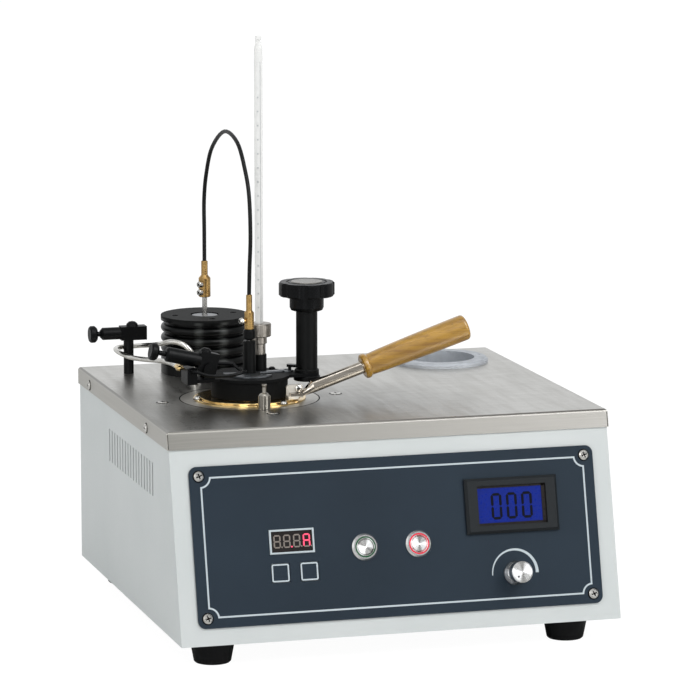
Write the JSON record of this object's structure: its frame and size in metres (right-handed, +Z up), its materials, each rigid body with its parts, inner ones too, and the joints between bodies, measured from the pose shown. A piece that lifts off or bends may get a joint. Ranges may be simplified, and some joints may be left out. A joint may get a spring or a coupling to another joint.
{
  "type": "flash point tester",
  "caption": "Closed-cup flash point tester: sloped cabinet with sunk stove, brass cup and black lid with shutter column, stirrer, thermometer and gas igniter.",
  "frame": {"origin": "centre of the bounding box in plan, at the underside of the feet", "axes": "+Z up, the control panel faces -Y, +X towards the cooling well"},
  "size_m": [0.3532, 0.3638, 0.457],
  "materials": {
    "cabinet_paint": "smooth light grey powder coat",
    "stainless": "brushed",
    "zinc_sheet": "plain sheet",
    "foot_rubber": "matt black",
    "panel_film": "satin dark grey with a pale border line",
    "screw_steel": "bright",
    "led_frame": "pale grey frame round a dark red filter",
    "meter_case": "matt dark grey",
    "meter_glass": "blue backlit liquid crystal",
    "key_plastic": "satin dark grey",
    "button_steel": "polished",
    "green_lens": "translucent dark green",
    "red_lens": "lit red",
    "cap_steel": "turned",
    "regulator_case": "matt",
    "knob_metal": "satin turned",
    "stove_iron": "rough cast",
    "stove_plate": "turned, slightly tarnished",
    "brass": "turned, lightly worn",
    "mica": "woven",
    "post_steel": "satin",
    "well_metal": "satin turned",
    "black_metal": "satin black",
    "shaft_steel": "ground",
    "pipe_chrome": "bright",
    "board": "solder resist green",
    "core_steel": "varnished laminations",
    "black_plastic": "matt black",
    "handle_wood": "varnished turned wood",
    "shutter_metal": "satin",
    "glass": "clear",
    "ferrule_steel": "knurled",
    "flex_black": "matt black"
  },
  "bodies": {
    "housing": {"cabinet": "cabinet_paint", "top_cover": "stainless", "base_plate": "zinc_sheet", "rear_panel": "cabinet_paint", "feet": "foot_rubber", "front_panel": "panel_film", "panel_screws": "screw_steel", "cover_screws": "screw_steel", "led_display": "led_frame", "voltmeter": "meter_case", "meter_lcd": "meter_glass", "button_bodies": "button_steel", "fan_ring": "green_lens", "power_ring": "red_lens", "heating_regulator": "regulator_case", "stove": "stove_iron", "stove_plate": "stove_plate", "seat_ring": "brass", "heater_band": "mica", "stove_can": "zinc_sheet", "locating_post": "post_steel", "cooling_well": "well_metal", "motor_housing": "black_metal", "gas_post": "black_metal", "gas_pipe": "pipe_chrome", "gas_inlet": "brass", "control_board": "board", "transformer": "core_steel", "cooling_fan": "black_plastic", "power_inlet": "black_plastic"},
    "cup": {"cup": "brass", "cup_bracket": "post_steel", "cup_rod": "post_steel", "cup_handle": "handle_wood"},
    "lid": {"lid": "black_metal", "carrier_plate": "black_metal", "column": "black_metal", "stirrer_bearing": "black_metal", "thermometer_socket": "black_metal", "gas_block": "black_metal", "gas_union": "brass", "pilot_tube": "black_metal", "drive_cable": "flex_black"},
    "star_knob": {"star_knob": "black_plastic"},
    "shutter": {"shutter": "shutter_metal"},
    "igniter": {"igniter": "black_metal"},
    "igniter_knob": {"igniter_knob": "black_plastic"},
    "stirrer": {"stirrer_shaft": "shaft_steel", "stirrer_hub": "brass"},
    "thermometer": {"thermometer_ferrule": "ferrule_steel", "thermometer": "glass"},
    "motor": {"motor_shaft": "shaft_steel", "motor_coupling": "brass"},
    "fan_rotor": {"fan_rotor": "black_plastic"},
    "heating_knob": {"heating_knob": "knob_metal"},
    "post_valve_knob": {"post_valve_knob": "black_metal"},
    "fan_button": {"fan_button": "cap_steel"},
    "power_button": {"power_button": "cap_steel"},
    "method_key": {"method_key": "key_plastic"},
    "start_key": {"start_key": "key_plastic"}
  },
  "joints": [
    {"name": "cup_lift", "type": "slide", "parent": "housing", "child": "cup", "axis": [0, 0, 1], "range_m": [0, 0.07]},
    {"name": "lid_lift", "type": "slide", "parent": "cup", "child": "lid", "axis": [0, 0, 1], "range_m": [0, 0.06]},
    {"name": "star_knob_turn", "type": "hinge", "parent": "lid", "child": "star_knob", "pos_m": [-0.032, -0.01196, 0.214], "axis": [0, 0, 1], "range_deg": [0, 60], "stiffness_Nm_per_rad": 0.15},
    {"name": "shutter_turn", "type": "hinge", "parent": "lid", "child": "shutter", "pos_m": [-0.078, -0.00996, 0.194], "axis": [0, 0, 1], "range_deg": [-24, 0]},
    {"name": "igniter_dip", "type": "hinge", "parent": "lid", "child": "igniter", "pos_m": [-0.1136, -0.01696, 0.202], "axis": [0, 1, 0], "range_deg": [0, 8]},
    {"name": "igniter_knob_turn", "type": "hinge", "parent": "igniter", "child": "igniter_knob", "pos_m": [-0.1136, -0.01696, 0.2065], "axis": [-0.9736, 0, 0.2284], "range_deg": [0, 270]},
    {"name": "stirrer_spin", "type": "hinge", "parent": "lid", "child": "stirrer", "pos_m": [-0.078, -0.00996, 0.194], "axis": [0, 0, 1], "continuous": true},
    {"name": "thermometer_lift", "type": "slide", "parent": "lid", "child": "thermometer", "axis": [0, 0, 1], "range_m": [0, 0.07]},
    {"name": "motor_spin", "type": "hinge", "parent": "housing", "child": "motor", "pos_m": [-0.0807, 0.11944, 0.205], "axis": [0, 0, 1], "continuous": true},
    {"name": "fan_spin", "type": "hinge", "parent": "housing", "child": "fan_rotor", "pos_m": [0.11, 0.15804, 0.066], "axis": [0, 1, 0], "continuous": true},
    {"name": "heating_knob_turn", "type": "hinge", "parent": "housing", "child": "heating_knob", "pos_m": [0.091, -0.16078, 0.05686], "axis": [0, 0.9692, -0.2463], "range_deg": [0, 290]},
    {"name": "post_valve_turn", "type": "hinge", "parent": "housing", "child": "post_valve_knob", "pos_m": [-0.157, 0.12744, 0.2079], "axis": [-1, 0, 0], "range_deg": [0, 270]},
    {"name": "fan_button_press", "type": "slide", "parent": "housing", "child": "fan_button", "axis": [0, 0.9692, -0.2463], "range_m": [0, 0.0025], "stiffness_N_per_m": 600, "springref_m": -0.0005},
    {"name": "power_button_press", "type": "slide", "parent": "housing", "child": "power_button", "axis": [0, 0.9692, -0.2463], "range_m": [0, 0.0025], "stiffness_N_per_m": 600, "springref_m": -0.0005},
    {"name": "method_key_press", "type": "slide", "parent": "housing", "child": "method_key", "axis": [0, 0.9692, -0.2463], "range_m": [0, 0.0004], "stiffness_N_per_m": 1500, "springref_m": -0.0001},
    {"name": "start_key_press", "type": "slide", "parent": "housing", "child": "start_key", "axis": [0, 0.9692, -0.2463], "range_m": [0, 0.0004], "stiffness_N_per_m": 1500, "springref_m": -0.0001}
  ],
  "couplings": [
    {"joint": "shutter_turn", "follows": "star_knob_turn", "ratio": -0.38869},
    {"joint": "igniter_dip", "follows": "star_knob_turn", "ratio": 0.13332},
    {"joint": "stirrer_spin", "follows": "motor_spin", "ratio": -1}
  ]
}
